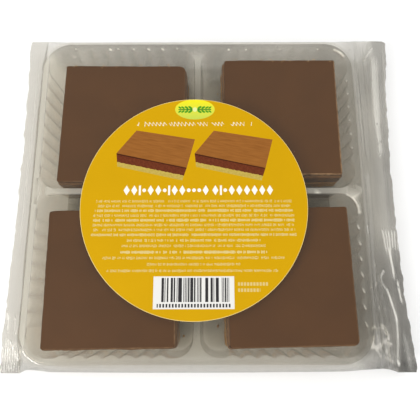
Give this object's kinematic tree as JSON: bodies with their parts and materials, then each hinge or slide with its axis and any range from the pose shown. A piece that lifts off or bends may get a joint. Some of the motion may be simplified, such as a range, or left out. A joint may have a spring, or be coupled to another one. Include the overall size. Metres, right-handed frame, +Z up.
{
  "type": "millionaires shortbread pack",
  "caption": "Squares of shortbread, caramel and chocolate in the wells of a clear formed tray, closed in clear film with crimped ends and a round label.",
  "frame": {"origin": "below the middle of the tray's footprint, on the surface that the pack lies on", "axes": "+X towards the slack crimped end of the film, +Y from the near side to the far side, +Z up through the label"},
  "size_m": [0.2103, 0.186, 0.0308],
  "materials": {
    "tray_plastic": "clear formed plastic sheet, glossy",
    "film": "clear thin film, glossy",
    "shortbread": "baked, crumbly, matt",
    "caramel": "soft set caramel, satin",
    "chocolate": "milk chocolate coating, smooth, low sheen",
    "label": "printed paper, semi-gloss"
  },
  "bodies": {
    "root": {"tray": "tray_plastic", "shortbread_far_left": "shortbread", "shortbread_far_right": "shortbread", "shortbread_near_left": "shortbread", "shortbread_near_right": "shortbread", "caramel_far_left": "caramel", "caramel_far_right": "caramel", "caramel_near_left": "caramel", "caramel_near_right": "caramel", "chocolate_far_left": "chocolate", "chocolate_far_right": "chocolate", "chocolate_near_left": "chocolate", "chocolate_near_right": "chocolate", "film_sleeve": "film", "film_end_left": "film", "film_end_right": "film", "film_back_seam": "film", "label": "label"}
  },
  "joints": []
}
